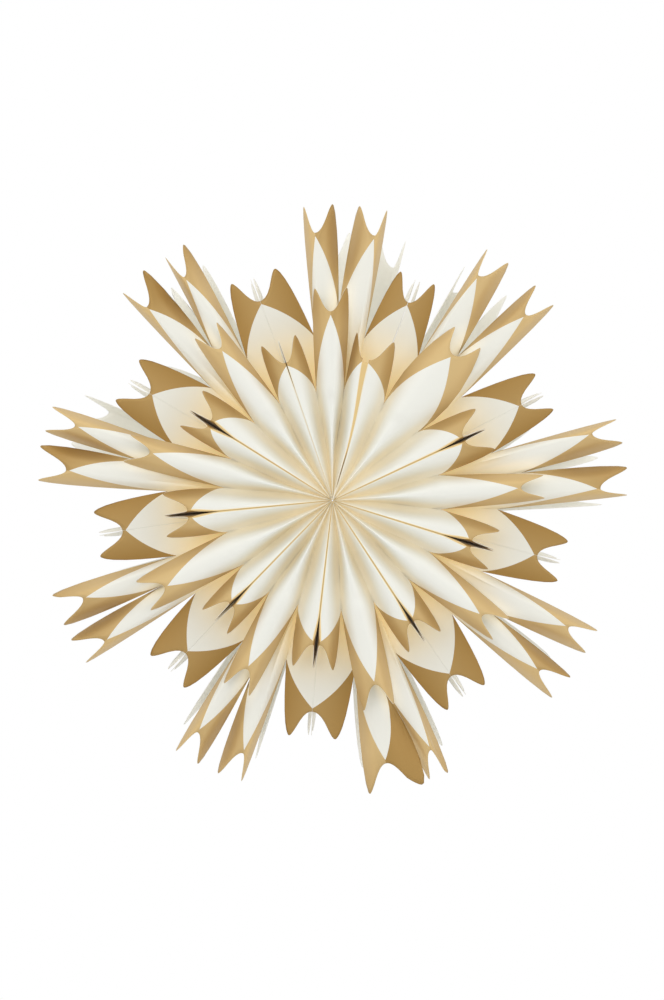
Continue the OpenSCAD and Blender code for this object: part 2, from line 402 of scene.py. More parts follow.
@dataclass(frozen=True)
class Strip:
    """A strip of creased paper across a petal: the panels of one half, then the same mirrored.

    clear is how far the strip keeps from its side walls. end_foot takes the place of the foot where the
    strip meets the closure.
    """

    ring: Ring
    petal: int
    face: Face
    folds: tuple[Fold, ...]
    clear: float
    left: Habit
    right: Habit
    end_foot: Panel | None = None
    crease: Crease = Crease()
    rows: int = 44
    steps: tuple[float, ...] = (
        0.0, 0.012, 0.03, 0.06, 0.1, 0.16, 0.24, 0.33, 0.42, 0.48, 0.525, 0.555, 0.58,
        0.605, 0.63, 0.66, 0.7, 0.76, 0.83, 0.89, 0.935, 0.967, 0.988, 1.0,
    )
    # Radii over which a tucked valley comes free, a foot takes its lean, the closure's shelf grows and
    # the paper opens off its wall.
    tucked: Ramp = Ramp(25.0, 75.0)
    leaning: Ramp = Ramp(40.0, 100.0)
    shelved: Ramp = Ramp(20.0, 60.0)
    splayed: Ramp = Ramp(112.0, 30.0)
    # Shares of a foot over which its glued end goes back to the wall, and the shelf runs out and back.
    glued: Ramp = Ramp(0.7, 0.3)
    shelf_out: Ramp = Ramp(0.0, 0.14)
    shelf_back: Ramp = Ramp(0.14, 0.5)
    # The distance between the two sheets at the closure, and how many times sooner than at its end a foot
    # there has come away from the plane of its wall.
    closure_gap: float = 2.7
    foot_sooner: float = 3.0
    # How the splay fades towards the middle and down a foot.
    splay_reach: Ramp = Ramp(0.0, 0.6)
    splay_bend: float = 1.5

    @property
    def on_walls(self) -> bool:
        """Return whether the strip joins its walls by feet, as a rosette does."""
        return self.folds[0].panel.side == 0

    def fold(self, number: int, mirrored: bool) -> Fold:
        """Return a panel of one half in its place; mirrored is True for the clockwise half."""
        at_closure = self.petal == (self.ring.petals if mirrored else 1)
        if number == 0 and self.end_foot is not None and at_closure:
            return Fold(self.end_foot, self.end_foot, self.folds[0].outward)
        return self.folds[number]

    def habit(self, mirrored: bool) -> Habit:
        """Return how one half stands; mirrored is True for the clockwise half."""
        return self.right if mirrored else self.left

    def columns(self) -> list[tuple[int, float]]:
        """Lay out the lines of half a strip.

        Returns:
            (panel, u) for each line; where two panels meet, the second's.
        """
        found: list[tuple[int, float]] = []
        for number, fold in enumerate(self.folds):
            steps = self.steps if fold.outward else tuple(reversed(self.steps))
            found = found[:-1] + [(number, u) for u in steps]
        return found

    def turn(self, line: Line, share: Array, in_foot: float) -> Array:
        """Find how far the paper stands clockwise of its even place.

        Args:
            line: the line of paper.
            share: how far each of its points lies from the side wall to the petal's middle.
            in_foot: how far down a foot the line lies, and 0 elsewhere.

        Returns:
            The turn at each point, in degrees.
        """
        habit, height = self.habit(line.mirrored), line.height
        creases = sorted({at for fold in self.folds for at in (fold.panel.ridge_at, fold.panel.valley_at)})
        along = np.interp(share, creases, (0.0, *habit.turns[1:])) * smooth(height / habit.settled)
        at_valley = np.interp(share, (0.0, creases[1], 1.0), (0.0, 1.0, 0.0))
        slip = habit.tuck * at_valley * self.tucked.down(height)
        wall = habit.turns[0] * mix(habit.inner, 1.0, self.leaning.up(height)) * self.glued.down(in_foot)
        wall = wall * np.clip(1.0 - share / creases[1], 0.0, 1.0)
        if not habit.shelf:
            return along + slip + wall
        reach = (habit.shelf + np.degrees(self.closure_gap / height)) * self.shelved.up(height)
        return along + slip + reach * self.shelf_out.up(in_foot) * self.shelf_back.down(in_foot) + wall

    def aside(self, line: Line) -> float:
        """Find how far a line's paper keeps from the plane of its side wall.

        Args:
            line: the line of paper.

        Returns:
            The distance, which a foot grows into and the first panel loses on its way to the valley.
        """
        main = self.fold(line.panel, line.mirrored).panel
        if main.ridge_at != 0:
            return 0.0
        at_wall = self.ring.clear(self.petal if line.mirrored else self.petal - 1, self.clear)
        if main.side:
            return (self.clear if self.on_walls else at_wall) * (1.0 - line.u)
        return float(mix(self.clear, at_wall, smooth(self.foot_sooner * line.u)))

    def depth(self, line: Line) -> Array:
        """Find how far a line's paper stands in front of the star's middle.

        Args:
            line: the line of paper.

        Returns:
            The distance at each of its points.
        """
        fold, height = self.fold(line.panel, line.mirrored), line.height
        main, half = fold.panel, self.ring.half(self.petal)
        ridge = main.ridge_depth(height)
        level = main.depth if main.valley_at < 1.0 else ridge
        drop = main.drop(fold.valley_by, height, half, *self.habit(line.mirrored).opening(line.panel))
        valley = mix(level, ridge - drop, main.settle(height))
        return mix(ridge, valley, self.crease.profile(line.u, height))

    def place(self, line: Line) -> Array:
        """Find where a line of the paper lies.

        Args:
            line: the line of paper.

        Returns:
            Its points in the star's frame, shape (radii, 3).
        """
        main, height = self.fold(line.panel, line.mirrored).panel, line.height
        habit, half = self.habit(line.mirrored), self.ring.half(self.petal)
        shown = PANEL_W * main.spread(height, half, *habit.opening(line.panel))
        angle = main.ridge_at * half + main.side * line.u * np.degrees(shown / height) - half
        share = (angle + half) / half
        in_foot = 0.0 if main.side else line.u
        opened = habit.splay * self.splayed.up(height) * self.splay_reach.down(share)
        aside = self.aside(line) + opened * (1.0 - in_foot) ** self.splay_bend
        sign = -1.0 if line.mirrored else 1.0
        a, h = np.radians(angle * sign + self.turn(line, share, in_foot)), math.radians(half)
        x = height * np.sin(a) + sign * aside * math.cos(h)
        z = height * np.cos(a) + aside * math.sin(h)
        m = math.radians(self.ring.middle(self.petal))
        across, up = x * math.cos(m) + z * math.sin(m), z * math.cos(m) - x * math.sin(m)
        return np.stack([across, -self.depth(line) * self.face.value, up], axis=-1)


@dataclass(frozen=True)
class Tones:
    """What a strip's material and its bending need to know along each line of its paper."""

    strip: Strip
    # A panel counts as steep where less than this share of its width shows, fully so steep_by below it.
    level_share: float = 0.97
    steep_by: float = 0.4
    # Painted sheen, which pales the gold where a panel is steep in place of the bright surroundings it would
    # reflect:
    # at least this much on the ridge of a half lobe beside a wall, and elsewhere. A valley's side of a panel
    # keeps a painted shade and stays darker.
    sheen_beside_wall: float = 0.3
    least_sheen: float = 0.12
    painted_valley_shade: float = 0.35
    # Painted glow, which the paper emits in place of light through it: just outside the rosette, dimmer in
    # the middle valley, and some more in that valley behind the rosette's notches.
    outer_light: Ramp = Ramp(118.0, 75.0)
    inner_light: Ramp = Ramp(196.0, 40.0)
    inner_strength: float = 0.6
    inner_from: Ramp = Ramp(0.15, 0.5)
    valley_dims: float = 0.5
    valley_from: Ramp = Ramp(0.0, 0.5)
    # A petal's slight tan, which it always has, then the painted tint of bounced light and shade that it has
    # more near the rosette, and where that ends.
    petal_warmth: float = 0.04
    near_painted_bounce: float = 0.66
    near: Ramp = Ramp(125.0, 85.0)
    # Painted shade of a valley, which begins some way down from its ridge, of the centre, and of the glued
    # feet:
    # one at the closure has it deep all over, and the others have it deepest at their upper edge, in full
    # measure where they splay off the wall by seam_splay.
    lower: Ramp = Ramp(0.375, 0.625)
    soft_share: float = 0.4
    tight_share: float = 0.6
    open_valley: float = 0.36
    tight_valley: float = 0.44
    heart_painted_shade: float = 0.4
    heart: Ramp = Ramp(10.0, 50.0)
    end_foot_painted_shade: float = 1.7
    foot_edge: float = 0.2
    seam_edge: float = 0.06
    seam_splay: float = 2.0

    def measures(self, line: Line) -> dict[str, Array]:
        """Return every measure along a line, under its attribute's name."""
        return {
            "warmth": self.warmth(line), "paleness": self.paleness(line), "glow": self.glow(line),
            "arch": self.arch(line), "hold": self.hold(line),
        }

    def main(self, line: Line) -> Panel:
        """Return the panel on which a line lies."""
        return self.strip.fold(line.panel, line.mirrored).panel

    def arch(self, line: Line) -> Array:
        """Return how full the unprinted arch is."""
        return np.full_like(line.height, self.main(line).arch)

    def hold(self, line: Line) -> Array:
        """Return how far past its side wall the strip's end leans and stays, in degrees."""
        in_foot = 0.0 if self.main(line).side else line.u
        lean = self.strip.habit(line.mirrored).lean
        return np.full_like(line.height, lean * self.strip.glued.down(in_foot))

    def paleness(self, line: Line) -> Array:
        """Find how much painted sheen pales the gold print, with painted shade that keeps a valley's side
        darker.

        Args:
            line: the line of paper.

        Returns:
            From 0 on a panel that lies open to 1 on a steep one.
        """
        main, strip = self.main(line), self.strip
        if main.side == 0:
            return np.zeros_like(line.height)
        lobe = strip.habit(line.mirrored).lobes[line.panel]
        lacking = self.level_share - main.spread(line.height, strip.ring.half(strip.petal), lobe)
        steep = np.clip(lacking / self.steep_by, 0.0, 1.0)
        beside_wall = line.panel == 0 and not strip.on_walls
        least_sheen = self.sheen_beside_wall * (1.0 - line.u) if beside_wall else self.least_sheen
        # Painted sheen on steep panels, less towards the valley, where painted shade keeps the gold darker.
        return np.maximum(least_sheen, steep - self.painted_valley_shade * line.u ** 3)

    def glow(self, line: Line) -> Array:
        """Find how much painted glow the paper emits in place of light through it: most on a petal just
        outside the rosette.

        Args:
            line: the line of paper.

        Returns:
            From 0 to 1.
        """
        if self.strip.on_walls:
            return np.zeros_like(line.height)
        outer = self.outer_light.down(line.height)
        if line.panel < len(self.strip.folds) - 1:
            return outer
        inner = self.inner_strength * self.inner_from.up(line.u) * self.inner_light.down(line.height)
        return np.maximum(outer * (1.0 - self.valley_dims * self.valley_from.up(line.u)), inner)

    def warmth(self, line: Line) -> Array:
        """Find how much painted shade the paper gets: a tan that stands in for shade and bounced light in its
        folds.

        Args:
            line: the line of paper.

        Returns:
            0 on an open ridge, 1 deep in a tight valley and 2 on the rosette's seams.
        """
        main, strip, height = self.main(line), self.strip, line.height
        opened = min(1.0, strip.habit(line.mirrored).splay / self.seam_splay)
        # A foot gets painted shade all over, and a deeper painted shade at its upper edge where it splays off
        # the wall.
        if main.side == 0:
            edge = opened * max(0.0, 1.0 - line.u / self.foot_edge)
            return np.full_like(height, 1.0 + edge if main.has_tip else self.end_foot_painted_shade)
        near = np.zeros_like(height)
        if not strip.on_walls:
            near = self.petal_warmth + self.near_painted_bounce * self.near.down(height)
            if line.panel == 0:
                return near
        tight = np.clip(1.0 - main.spread(height, strip.ring.half(strip.petal)) / self.tight_share, 0.0, 1.0)
        low = strip.crease.profile(line.u, height)
        deep = mix(self.lower.up(low), smooth(low), self.soft_share)
        deep = deep * (self.open_valley + self.tight_valley * tight)
        heart = self.heart_painted_shade * self.heart.down(height)
        # Painted deeper shade along the rosette's seams, in full measure where the paper splays off the wall.
        seam = opened * max(0.0, 1.0 - line.u / self.seam_edge) if main.ridge_at == 0 else 0.0
        return mix(np.clip(np.maximum(np.maximum(deep, heart), near), 0.0, 1.0), 2.0, seam)


@dataclass(frozen=True)
class Hole:
    """A round hole through a sheet: its middle, the direction through it and its radius, in metres."""

    centre: Vector
    axis: Vector
    radius: float
    sides: int = 16
    # The cuts reach this many radii into the sheet round the hole.
    reach: float = 8.0

    def punch(self, bm: bmesh.types.BMesh) -> None:
        """Cut the hole: a straight cut along each side, then the piece between the cuts falls out.

        Args:
            bm: the sheet.
        """
        start = self.axis.orthogonal().normalized()
        for n in range(self.sides):
            out = Quaternion(self.axis, math.tau * n / self.sides) @ start
            near = self.faces_within(bm, self.reach * self.radius)
            geometry = {*near, *(e for f in near for e in f.edges), *(v for f in near for v in f.verts)}
            edge = self.centre + out * self.radius
            bmesh.ops.bisect_plane(bm, geom=list(geometry), plane_co=edge, plane_no=out)
        bmesh.ops.delete(bm, geom=self.faces_within(bm, self.radius), context="FACES")

    def faces_within(self, bm: bmesh.types.BMesh, reach: float) -> list[bmesh.types.BMFace]:
        """Return the faces whose middle lies within reach of the hole's middle."""
        return [f for f in bm.faces if (f.calc_center_median() - self.centre).length < reach]


@dataclass(frozen=True)
class Grid:
    """A sheet of paper as a grid of lines.

    points are its places in millimetres, shape (lines, rows, 3), and flat its places on the flat sheet in
    metres, shape (lines, rows, 2). tints holds a value for each point under each attribute's name. prints
    are the places on the print at each face's corners, shape (lines - 1, 2, rows, 2).
    """

    points: Array
    flat: Array
    tints: dict[str, Array]
    prints: Array | None = None

    def join(self, other: "Grid") -> "Grid":
        """Join the grid of half a strip to that of the clockwise half.

        Args:
            other: the clockwise half, whose last line is also this half's last.

        Returns:
            The grid of the whole strip.
        """
        return Grid(
            np.concatenate([self.points, other.points[-2::-1]]),
            np.concatenate([self.flat, other.flat[-2::-1] * np.array([-1, 1])]),
            {name: np.concatenate([mine, other.tints[name][-2::-1]]) for name, mine in self.tints.items()},
            np.concatenate([self.prints, other.prints[::-1, ::-1]]),
        )


@dataclass(frozen=True)
class Sheet:
    """A piece of paper, made from a flat grid that is bent to shape."""

    name: str
    grid: Grid
    flip: bool
    hole: Hole | None = None

    def build(self) -> bpy.types.Object:
        """Make the paper's middle layer; flip says that its faces must turn to point outwards.

        Returns:
            The piece, without its thickness.
        """
        across, up = self.grid.points.shape[0] - 1, self.grid.points.shape[1] - 1
        bm = bmesh.new()
        bmesh.ops.create_grid(bm, x_segments=across, y_segments=up, size=1.0)
        tints = {bm.verts.layers.float.new(name): values for name, values in self.grid.tints.items()}
        flat = bm.loops.layers.uv.new("sheet")
        prints = bm.loops.layers.uv.new("print") if self.grid.prints is not None else None
        cell = {v: (round((v.co.x + 1) / 2 * across), round((v.co.y + 1) / 2 * up)) for v in bm.verts}
        self.lay_out(bm, cell, flat, prints)
        for v, (i, j) in cell.items():
            v.co = self.grid.points[i, j] * MM
            for layer, values in tints.items():
                v[layer] = values[i, j]
        if self.hole is not None:
            self.hole.punch(bm)
        if self.flip:
            bmesh.ops.reverse_faces(bm, faces=bm.faces)
        mesh = bpy.data.meshes.new(self.name)
        bm.to_mesh(mesh)
        bm.free()
        piece = bpy.data.objects.new(self.name, mesh)
        bpy.context.scene.collection.objects.link(piece)
        return piece

    def lay_out(
        self, bm: bmesh.types.BMesh, cell: dict[bmesh.types.BMVert, tuple[int, int]],
        flat: bmesh.types.BMLayerItem, prints: bmesh.types.BMLayerItem | None,
    ) -> None:
        """Give each face its places on the flat sheet and on the print.

        Args:
            bm: the flat grid.
            cell: the line and the row of each of its points.
            flat: the layer for places on the flat sheet.
            prints: the layer for places on the print, if the sheet has one.
        """
        for f in bm.faces:
            f.smooth = True
            first = min(cell[v][0] for v in f.verts)
            for loop in f.loops:
                i, j = cell[loop.vert]
                loop[flat].uv = self.grid.flat[i, j]
                if prints is not None:
                    loop[prints].uv = self.grid.prints[first, i - first, j]


def thicken(piece: bpy.types.Object, materials: tuple[bpy.types.Material, ...]) -> None:
    """Give a sheet the paper's thickness.

    Args:
        piece: the paper's middle layer.
        materials: those of its face, its back and its cut edge.
    """
    for material in materials:
        piece.data.materials.append(material)
    solid = piece.modifiers.new("paper", "SOLIDIFY")
    solid.thickness = PAPER * MM
    solid.offset = 0.0
    solid.use_rim = True
    solid.material_offset = 1
    solid.material_offset_rim = 2


def bend_between(piece: bpy.types.Object, share: Array) -> None:
    """Lay a piece's points for a moment at their eased share between two bodies, then put them back at its
    final shape.

    Args:
        piece: the paper, at its final shape.
        share: for each vertex, 0 on the first body and 1 on the second.
    """
    mesh = piece.data
    rest = np.zeros(len(mesh.vertices) * 3, np.float32)
    mesh.vertices.foreach_get("co", rest)
    # The points are laid where an ease in and out gives the wanted share.
    laid = np.zeros((len(mesh.vertices), 3), np.float32)
    laid[:, 0] = 0.5 - np.sin(np.arcsin(1.0 - 2.0 * np.clip(share, 0.0, 1.0)) / 3.0)
    mesh.vertices.foreach_set("co", laid.ravel())
    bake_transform(piece)
    mesh.vertices.foreach_set("co", rest)
    mesh.update()


@dataclass(frozen=True)
class StripMaker:
    """Makes the piece for one strip, in place of its CAD node, which it hides."""

    strip: Strip
    node: str
    finishes: tuple[bpy.types.Material, ...]

    def half(self, mirrored: bool) -> Grid:
        """Lay out half the strip.

        Args:
            mirrored: True for the clockwise half.

        Returns:
            Its lines from the side wall to the petal's middle.
        """
        columns = self.strip.columns()
        panels = [self.strip.fold(number, mirrored).panel for number, _ in columns]
        t = np.linspace(0.0, 1.0, self.strip.rows + 1)
        lines = [
            Line(number, u, mix(HEART_R, panel.edge(np.array([u])), t), mirrored)
            for (number, u), panel in zip(columns, panels)
        ]
        across, flat = 0.0, []
        for before, line in zip((lines[0], *lines), lines):
            if before.panel == line.panel:
                across += abs(line.u - before.u) * PANEL_W
            flat.append(np.stack([np.full_like(line.height, across), line.height], axis=-1) * MM)
        tones = Tones(self.strip)
        measures = [tones.measures(line) for line in lines]
        return Grid(
            np.stack([self.strip.place(line) for line in lines]),
            np.stack(flat),
            {name: np.stack([found[name] for found in measures]) for name in measures[0]},
            np.stack([self.printed(*pair, panel) for *pair, panel in zip(lines, lines[1:], panels)]),
        )

    def printed(self, line: Line, beyond: Line, panel: Panel) -> Array:
        """Find where the print of a panel lies between two lines.

        Args:
            line: the nearer line, on that panel.
            beyond: the next line, which may belong to the next panel.
            panel: the panel.

        Returns:
            The share of the width, or -1 where nothing is printed, and how far a point lies from the
            valley's foot to the arch's point, shape (2, rows, 2).
        """
        span = panel.notch - STRAP - panel.foot
        last = 1.0 if self.strip.folds[line.panel].outward else 0.0
        shares = (line.u, beyond.u if beyond.panel == line.panel else last)
        if not panel.has_tip:
            shares = (-1.0, -1.0)
        return np.stack([
            np.stack([np.full_like(at.height, u), (at.height - panel.foot) / span], axis=-1)
            for at, u in zip((line, beyond), shares)
        ])

    def fan_share(self, piece: bpy.types.Object) -> Array:
        """Find how the piece's points stand between its walls, where its leaning ends count as on them.

        Args:
            piece: the paper, at its final shape.

        Returns:
            0 on the first wall and 1 on the second, for each vertex.
        """
        s, count = self.strip, len(piece.data.vertices)
        places, hold = np.zeros(count * 3, np.float32), np.zeros(count, np.float32)
        piece.data.vertices.foreach_get("co", places)
        piece.data.attributes["hold"].data.foreach_get("value", hold)
        places = places.reshape(-1, 3)
        turn = short_way(np.degrees(np.arctan2(places[:, 0], places[:, 2])) - s.ring.middle(s.petal))
        half = s.ring.half(s.petal)
        start = -half + np.where(turn < 0.0, hold, s.left.lean)
        end = half + np.where(turn < 0.0, s.right.lean, hold)
        return (turn - start) / (end - start)

    def make(self) -> bpy.types.Object:
        """Build the piece, dress it and hide the CAD node whose place it takes.

        Returns:
            The piece.
        """
        grid = self.half(False).join(self.half(True))
        piece = Sheet(self.node + "_paper", grid, self.strip.face is Face.REAR).build()
        thicken(piece, self.finishes)
        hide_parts(self.node)
        bend_between(piece, self.fan_share(piece))
        LOG.info("made %s", self.node)
        return piece


class Nodes:
    """A node tree with short ways to add and join its nodes."""

    def __init__(self, tree: bpy.types.NodeTree) -> None:
        """Keep the tree and clear it."""
        self.tree = tree
        tree.nodes.clear()

    def node(self, kind: str, **settings: object) -> bpy.types.Node:
        """Add a node.

        Args:
            kind: the node's type.
            settings: its properties and, with _ for each space, its sockets' own values.

        Returns:
            The node.
        """
        made = self.tree.nodes.new(kind)
        for key, value in settings.items():
            socket = key.replace("_", " ")
            if socket in made.inputs:
                made.inputs[socket].default_value = value
            else:
                setattr(made, key, value)
        return made

    def join(self, source: bpy.types.NodeSocket, target: bpy.types.NodeSocket) -> None:
        """Join an output to an input."""
        self.tree.links.new(source, target)

    def feed(self, value: object, target: bpy.types.NodeSocket) -> None:
        """Feed an input from an output, or set it to a number or a colour."""
        if isinstance(value, bpy.types.NodeSocket):
            self.join(value, target)
        else:
            target.default_value = value

    def sum(self, operation: str, *values: object, clamp: bool = False) -> bpy.types.NodeSocket:
        """Add a math node.

        Args:
            operation: what it does.
            values: its inputs, as numbers or outputs of other nodes.
            clamp: True to keep the result between 0 and 1.

        Returns:
            Its output.
        """
        made = self.node("ShaderNodeMath", operation=operation, use_clamp=clamp)
        for target, value in zip(made.inputs, values):
            self.feed(value, target)
        return made.outputs[0]

    def blend(self, factor: object, a: object, b: object) -> bpy.types.NodeSocket:
        """Add a colour mix.

        Args:
            factor: the share of b, as a number or an output.
            a: the colour at 0, as a colour or an output.
            b: the colour at 1, as a colour or an output.

        Returns:
            The mixed colour.
        """
        made = self.node("ShaderNodeMix", data_type="RGBA")
        for slot, value in ((0, factor), (6, a), (7, b)):
            self.feed(value, made.inputs[slot])
        return made.outputs[2]


class Shader(Nodes):
    """A material with its shader, which stays in the material itself."""

    def __init__(self, name: str, **settings: object) -> None:
        """Start a material whose shader has the given values on its own sockets."""
        self.material = bpy.data.materials.new(name)
        self.material.use_nodes = True
        super().__init__(self.material.node_tree)
        output = self.node("ShaderNodeOutputMaterial")
        self.bsdf = self.node("ShaderNodeBsdfPrincipled", **settings)
        self.join(self.bsdf.outputs[0], output.inputs[0])

    def roughen(self, height: bpy.types.NodeSocket, strength: float, distance: float) -> None:
        """Raise the surface by a pattern of heights; distance is the highest, in metres."""
        bump = self.node("ShaderNodeBump", Strength=strength, Distance=distance)
        self.join(height, bump.inputs["Height"])
        self.join(bump.outputs[0], self.bsdf.inputs["Normal"])


def darker(colour: Colour, share: float) -> Colour:
    """Return a colour with only a share of its strength."""
    return (*(part * share for part in colour[:3]), 1.0)


@dataclass(frozen=True)
class Colours:
    """The star's colours, as linear values."""

    pearl: Colour = (0.85, 0.855, 0.8, 1.0)
    # Painted shade: a tan for the folds, and a deeper brown for the feet and the rosette's seams.
    painted_shade_tan: Colour = (0.93, 0.74, 0.4, 1.0)
    painted_shade_brown: Colour = (0.68, 0.46, 0.16, 1.0)
    gold: Colour = (0.395, 0.228, 0.056, 1.0)
    # Painted sheen: a paler gold for steep panels, in place of the bright surroundings they would reflect.
    painted_sheen_gold: Colour = (0.66, 0.475, 0.22, 1.0)
    # Painted glow, which the paper emits in its folds in place of light through it.
    through: Colour = (0.26, 0.19, 0.085, 1.0)
    cloud: Colour = (0.7, 0.68, 0.62, 1.0)
    sheen: Colour = (1.0, 0.93, 0.78, 1.0)
    plain: Colour = (0.93, 0.915, 0.84, 1.0)
    rim: Colour = (0.90, 0.88, 0.80, 1.0)
    hooks: Colour = (0.74, 0.74, 0.71, 1.0)
    loops: Colour = (0.82, 0.81, 0.77, 1.0)
    none: Colour = (0.0, 0.0, 0.0, 1.0)


@dataclass(frozen=True)
class Grain:
    """The shared paper grain: a soft cloudy tone and a fine tooth, from a place on the sheet."""

    clouds: float = 260.0
    fibres: tuple[float, float, float] = (5200.0, 900.0, 1.0)
    tooth_height: float = 0.0001

    def group(self) -> bpy.types.NodeTree:
        """Build the node group.

        Returns:
            A group with an input Place and the outputs Tone and Tooth.
        """
        tree = bpy.data.node_groups.new("paper_fibre", "ShaderNodeTree")
        tree.interface.new_socket("Place", in_out="INPUT", socket_type="NodeSocketVector")
        tree.interface.new_socket("Tone", in_out="OUTPUT", socket_type="NodeSocketFloat")
        tree.interface.new_socket("Tooth", in_out="OUTPUT", socket_type="NodeSocketFloat")
        n = Nodes(tree)
        start, end = n.node("NodeGroupInput"), n.node("NodeGroupOutput")
        cloud = n.node("ShaderNodeTexNoise", Scale=self.clouds, Detail=4.0)
        stretch = n.node("ShaderNodeMapping", Scale=self.fibres)
        fibre = n.node("ShaderNodeTexNoise", Scale=1.0, Detail=3.0)
        n.join(start.outputs["Place"], cloud.inputs["Vector"])
        n.join(start.outputs["Place"], stretch.inputs["Vector"])
        n.join(stretch.outputs["Vector"], fibre.inputs["Vector"])
        n.join(cloud.outputs[0], end.inputs["Tone"])
        n.join(fibre.outputs[0], end.inputs["Tooth"])
        return tree

    def lay(self, shader: Shader, group: bpy.types.NodeTree, strength: float) -> bpy.types.NodeSocket:
        """Lay the grain on a material, on the piece's own sheet map.

        Args:
            shader: the material.
            group: the grain's node group.
            strength: how strong the tooth is.

        Returns:
            The cloudy tone.
        """
        place = shader.node("ShaderNodeUVMap", uv_map="sheet")
        grain = shader.node("ShaderNodeGroup", node_tree=group)
        shader.join(place.outputs["UV"], grain.inputs["Place"])
        shader.roughen(grain.outputs["Tooth"], strength, self.tooth_height)
        return grain.outputs["Tone"]


@dataclass(frozen=True)
class Tape:
    """One side of hook-and-loop tape: rows of small knobs on a woven ground."""

    name: str
    colour: Colour
    per_metre: float
    height: float
    knob_size: float = 1.4
    unevenness: float = 0.25
    bump: float = 0.8
    ground: float = 0.72
    roughness: float = 0.6

    def material(self) -> bpy.types.Material:
        """Build the material.

        Returns:
            The material.
        """
        s = Shader(self.name, Roughness=self.roughness)
        place = s.node("ShaderNodeTexCoord")
        knobs = s.node("ShaderNodeTexVoronoi", Scale=self.per_metre, Randomness=self.unevenness)
        s.join(place.outputs["Object"], knobs.inputs["Vector"])
        away = s.sum("MULTIPLY", knobs.outputs["Distance"], self.knob_size)
        spot = s.sum("SUBTRACT", 1.0, away, clamp=True)
        s.join(s.blend(spot, darker(self.colour, self.ground), self.colour), s.bsdf.inputs["Base Color"])
        s.roughen(spot, self.bump, self.height)
        return s.material


@dataclass(frozen=True)
class PlainPaper:
    """Unprinted paper: matt, faintly cloudy, with a fine tooth."""

    name: str
    colour: Colour
    cloud: float = 0.95
    tooth: float = 0.12
    roughness: float = 0.75
    gloss: float = 0.3

    def material(self, grain: Grain, group: bpy.types.NodeTree) -> bpy.types.Material:
        """Build the material.

        Args:
            grain: the paper's grain.
            group: the grain's node group.

        Returns:
            The material.
        """
        s = Shader(self.name, Roughness=self.roughness, Specular_IOR_Level=self.gloss)
        tone = grain.lay(s, group, self.tooth)
        s.join(s.blend(tone, darker(self.colour, self.cloud), self.colour), s.bsdf.inputs["Base Color"])
        return s.material


@dataclass(frozen=True)
class PrintedPaper:
    """Pearl paper with a metallic gold print outside the arch that each panel carries, and painted shade,
    sheen and glow.
    """

    name: str
    colours: Colours
    cloud: float = 0.06
    metal: float = 0.35
    tooth: float = 0.1
    roughness: float = 0.5
    gloss: float = 0.4
    sheen: float = 0.2
    sheen_roughness: float = 0.4

    def material(self, grain: Grain, group: bpy.types.NodeTree) -> bpy.types.Material:
        """Build the material.

        Args:
            grain: the paper's grain.
            group: the grain's node group.

        Returns:
            The material.
        """
        c = self.colours
        s = Shader(
            self.name, Roughness=self.roughness, Specular_IOR_Level=self.gloss, Emission_Strength=1.0,
            Sheen_Weight=self.sheen, Sheen_Roughness=self.sheen_roughness, Sheen_Tint=c.sheen,
        )
        tone = grain.lay(s, group, self.tooth)
        warmth, paleness, glow, arch = (
            s.node("ShaderNodeAttribute", attribute_name=name).outputs["Fac"]
            for name in ("warmth", "paleness", "glow", "arch")
        )
        gold = self.gold(s, arch)
        # Painted shade: a tan in the folds and a deeper brown on the feet and the seams.
        fold = s.blend(s.sum("MINIMUM", warmth, 1.0), c.pearl, c.painted_shade_tan)
        paper = s.blend(s.sum("SUBTRACT", warmth, 1.0, clamp=True), fold, c.painted_shade_brown)
        toned = s.blend(s.sum("MULTIPLY", tone, self.cloud), paper, c.cloud)
        # Painted sheen: steep panels get the paler gold.
        s.join(s.blend(gold, toned, s.blend(paleness, c.gold, c.painted_sheen_gold)), s.bsdf.inputs["Base Color"])
        # Painted glow: the unprinted paper emits a faint light near the rosette and in the middle valley.
        through = s.sum("MULTIPLY", glow, s.sum("SUBTRACT", 1.0, gold))
        s.join(s.blend(through, c.none, c.through), s.bsdf.inputs["Emission Color"])
        s.join(s.sum("MULTIPLY", gold, self.metal), s.bsdf.inputs["Metallic"])
        return s.material

    def gold(self, s: Shader, fullness: bpy.types.NodeSocket) -> bpy.types.NodeSocket:
        """Find where the gold lies, from the piece's own print map.

        Args:
            s: the material.
            fullness: how full the unprinted arch is.

        Returns:
            1 on the gold and 0 on the arch and on unprinted panels.
        """
        place = s.node("ShaderNodeUVMap", uv_map="print")
        part = s.node("ShaderNodeSeparateXYZ")
        s.join(place.outputs["UV"], part.inputs[0])
        u, y = part.outputs[0], part.outputs[1]
        bulge = s.sum("MULTIPLY_ADD", s.sum("MAXIMUM", y, 0.0), fullness, 1.0)
        return s.sum("GREATER_THAN", u, s.sum("MULTIPLY", s.sum("SUBTRACT", 1.0, y), bulge))


class Finishes:
    """All materials of the star, each built once."""

    def __init__(self) -> None:
        """Build every material."""
        colours, grain = Colours(), Grain()
        group = grain.group()
        self.inside = PlainPaper("plain_paper", colours.plain).material(grain, group)
        self.hooks = Tape("hook_tape", colours.hooks, 620.0, 0.0004).material()
        self.loops = Tape("loop_tape", colours.loops, 1700.0, 0.0002).material()
        self.rim = PlainPaper("cut_edge", colours.rim).material(grain, group)
        self.printed = PrintedPaper("printed_paper_petal", colours).material(grain, group)


@dataclass
class StripRing:
    """Strips of one kind on every petal, front and rear; each kind says how its strips fold and stand."""

    ring: Ring
    finishes: Finishes

    def strip(self, petal: int, face: Face) -> Strip:
        """Return one strip, as its kind makes it."""
        raise NotImplementedError

    def make_all(self, kind: str) -> None:
        """Make every front and rear strip.

        Args:
            kind: the word that ends its nodes' names.
        """
        f = self.finishes
        for petal in range(1, self.ring.petals + 1):
            for face in Face:
                node = f"petal_{petal}_{face.name.lower()}_{kind}"
                StripMaker(self.strip(petal, face), node, (f.printed, f.inside, f.rim)).make()


